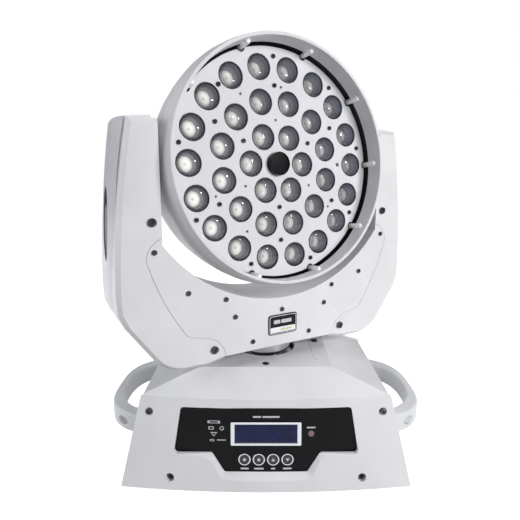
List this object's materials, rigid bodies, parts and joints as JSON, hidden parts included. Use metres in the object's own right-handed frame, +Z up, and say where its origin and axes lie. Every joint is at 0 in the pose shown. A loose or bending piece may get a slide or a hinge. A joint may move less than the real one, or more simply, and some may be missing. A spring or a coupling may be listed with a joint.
{
  "type": "moving head light",
  "caption": "Moving head wash light: a box base with a control panel carries a panning yoke and a round tilting head full of zooming lenses.",
  "frame": {"origin": "centre of the underside of the feet, on the pan axis", "axes": "+Z up along the pan axis, -Y towards the control panel, +X to the right of the panel"},
  "size_m": [0.384, 0.256, 0.4979],
  "materials": {
    "white_cover": "satin white moulding with a fine grain",
    "white_cap": "satin white moulding",
    "lens_plate": "white powder coat",
    "handle_plastic": "matt white, lightly grained",
    "black_gloss": "polished black",
    "panel_film": "black printed overlay",
    "bright_trim": "satin chrome",
    "display": "dark blue display window",
    "button_black": "black with pale marks",
    "sensor_red": "dark red infrared window",
    "screw_black": "blackened steel",
    "rubber_black": "black rubber",
    "collar_chrome": "turned and polished",
    "frame_steel": "zinc-plated sheet",
    "bearing_steel": "ground steel",
    "alloy": "machined",
    "motor_black": "black motor body",
    "circuit": "white solder mask with emitters",
    "fan_plastic": "black moulding",
    "lens_glass": "clear moulded optics"
  },
  "bodies": {
    "base": {"base_chassis": "frame_steel", "base_front_cover": "white_cover", "base_rear_cover": "white_cover", "base_left_cover": "white_cover", "base_right_cover": "white_cover", "control_panel": "panel_film", "lcd_bezel": "bright_trim", "lcd_screen": "display", "button_rings": "bright_trim", "sensor_window": "sensor_red", "base_screws": "screw_black", "left_handle": "handle_plastic", "right_handle": "handle_plastic", "handle_screws": "screw_black", "rubber_feet": "rubber_black", "pan_pedestal": "frame_steel", "pan_bearing": "bearing_steel", "pan_motor": "motor_black", "pan_belt": "rubber_black", "power_supply": "frame_steel", "rear_sockets": "fan_plastic"},
    "yoke": {"pan_shaft": "collar_chrome", "pan_pulley": "alloy", "yoke_frame": "frame_steel", "yoke_front_plate": "white_cover", "yoke_rear_plate": "white_cover", "yoke_saddle": "white_cover", "left_arm_shell": "white_cover", "right_arm_shell": "white_cover", "left_arm_cap": "white_cap", "right_arm_cap": "white_cap", "arm_inlays": "black_gloss", "yoke_screws": "screw_black", "badge_plate": "black_gloss", "tilt_motor": "motor_black", "tilt_belt": "rubber_black", "tilt_bearings": "bearing_steel"},
    "head": {"head_bezel": "white_cover", "head_housing": "white_cover", "head_rear_cover": "white_cover", "tilt_shafts": "bearing_steel", "tilt_pulley": "alloy", "led_board": "circuit", "heat_sink": "alloy", "fan_frame": "fan_plastic", "zoom_motor": "motor_black"},
    "lens_carrier": {"lens_plate": "lens_plate", "lenses": "lens_glass", "lens_plate_screws": "screw_black", "centre_tube": "black_gloss"},
    "menu_button": {"menu_button": "button_black"},
    "enter_button": {"enter_button": "button_black"},
    "up_button": {"up_button": "button_black"},
    "down_button": {"down_button": "button_black"},
    "power_switch": {"power_switch": "fan_plastic"},
    "pan_motor_pulley": {"pan_motor_pulley": "alloy"},
    "tilt_motor_pulley": {"tilt_motor_pulley": "alloy"},
    "zoom_screw": {"zoom_screw": "bearing_steel"},
    "fan_rotor": {"fan_rotor": "fan_plastic"}
  },
  "joints": [
    {"name": "pan", "type": "hinge", "parent": "base", "child": "yoke", "pos_m": [0, 0, 0.1], "axis": [0, 0, 1], "range_deg": [-298.93, 241.07]},
    {"name": "tilt", "type": "hinge", "parent": "yoke", "child": "head", "pos_m": [0, 0, 0.3554], "axis": [0.8752, 0.4837, 0], "range_deg": [-219.35, 50.65]},
    {"name": "zoom", "type": "slide", "parent": "head", "child": "lens_carrier", "axis": [0.4814, -0.871, 0.0985], "range_m": [-0.004, 0.016]},
    {"name": "menu_press", "type": "slide", "parent": "base", "child": "menu_button", "axis": [0, 0.9953, -0.0967], "range_m": [0, 0.0008], "stiffness_N_per_m": 400},
    {"name": "enter_press", "type": "slide", "parent": "base", "child": "enter_button", "axis": [0, 0.9953, -0.0967], "range_m": [0, 0.0008], "stiffness_N_per_m": 400},
    {"name": "up_press", "type": "slide", "parent": "base", "child": "up_button", "axis": [0, 0.9953, -0.0967], "range_m": [0, 0.0008], "stiffness_N_per_m": 400},
    {"name": "down_press", "type": "slide", "parent": "base", "child": "down_button", "axis": [0, 0.9953, -0.0967], "range_m": [0, 0.0008], "stiffness_N_per_m": 400},
    {"name": "switch_rock", "type": "hinge", "parent": "base", "child": "power_switch", "pos_m": [-0.032, 0.0966, 0.0489], "axis": [1, 0, 0], "range_deg": [-7, 7]},
    {"name": "pan_motor_spin", "type": "hinge", "parent": "base", "child": "pan_motor_pulley", "pos_m": [0.082, 0, 0.07], "axis": [0, 0, 1], "range_deg": [-1425, 1150]},
    {"name": "tilt_motor_spin", "type": "hinge", "parent": "yoke", "child": "tilt_motor_pulley", "pos_m": [0.14441, 0.07982, 0.207], "axis": [0.8752, 0.4837, 0], "range_deg": [-825, 192]},
    {"name": "zoom_motor_spin", "type": "hinge", "parent": "head", "child": "zoom_screw", "pos_m": [0.07614, 0.04208, 0.3554], "axis": [0.4814, -0.871, 0.0985], "range_deg": [-185, 725]},
    {"name": "fan_spin", "type": "hinge", "parent": "head", "child": "fan_rotor", "pos_m": [0, 0, 0.3554], "axis": [0.4814, -0.871, 0.0985], "continuous": true}
  ],
  "couplings": [
    {"joint": "pan_motor_spin", "follows": "pan", "ratio": 4.75},
    {"joint": "tilt_motor_spin", "follows": "tilt", "ratio": 3.75},
    {"joint": "zoom_motor_spin", "follows": "zoom", "rad_per_m": 785.4}
  ]
}
